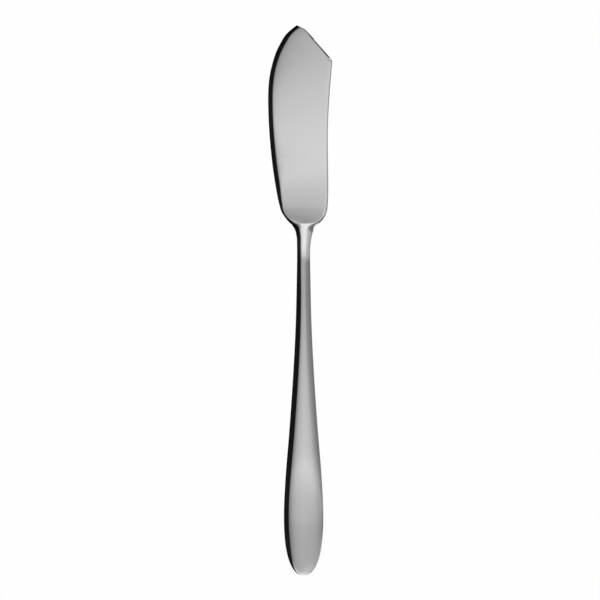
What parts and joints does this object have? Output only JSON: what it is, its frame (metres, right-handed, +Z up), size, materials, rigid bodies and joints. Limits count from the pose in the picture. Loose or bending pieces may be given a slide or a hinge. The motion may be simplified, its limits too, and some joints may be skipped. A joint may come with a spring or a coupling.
{
  "type": "fish knife",
  "caption": "Polished steel fish knife: a broad blunt blade with a clipped tip and a slim neck that swells into a rounded hollow handle, for parting and lifting fish at table.",
  "frame": {"origin": "on the table under the middle of the knife's bounding box, the knife lying on its back", "axes": "+Y along the knife towards the tip, +Z up out of the front face, +X towards the blunt back of the blade"},
  "size_m": [0.0244, 0.2099, 0.0092],
  "materials": {
    "blade_steel": "polished stainless steel",
    "shell_steel": "polished stainless steel",
    "handle_cement": "dull cast filling"
  },
  "bodies": {
    "root": {"blade": "blade_steel", "handle_front_shell": "shell_steel", "handle_back_shell": "shell_steel", "handle_filler": "handle_cement"}
  },
  "joints": []
}
